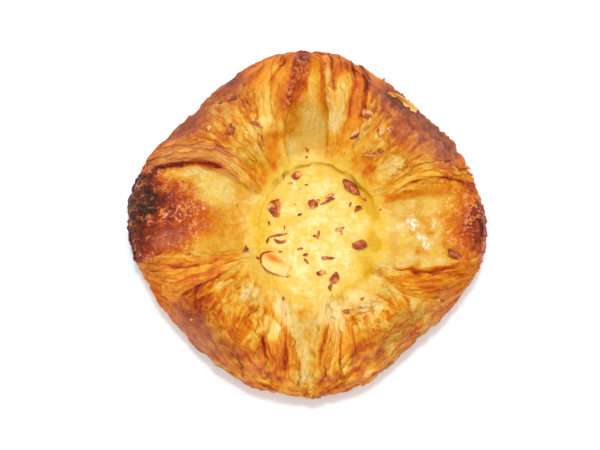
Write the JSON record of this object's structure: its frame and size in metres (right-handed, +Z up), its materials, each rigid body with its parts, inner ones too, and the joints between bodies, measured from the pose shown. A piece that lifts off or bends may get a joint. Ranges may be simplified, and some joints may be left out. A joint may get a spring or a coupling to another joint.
{
  "type": "danish pastry",
  "caption": "Crown-shaped danish pastry: a square of laminated dough folded in from its sides into puffed lobes around a pool of baked custard.",
  "frame": {"origin": "middle of the flat base", "axes": "+Z up out of the custard, +X and +Y towards two neighbouring corners of the folded square"},
  "size_m": [0.1102, 0.109, 0.0323],
  "materials": {
    "baked_dough": "egg-washed laminated dough, golden inside and red-brown on its rims, with a soft gloss",
    "custard": "pale yellow baked custard with a soft wet gloss"
  },
  "bodies": {
    "root": {"pastry": "baked_dough", "custard": "custard"}
  },
  "joints": []
}
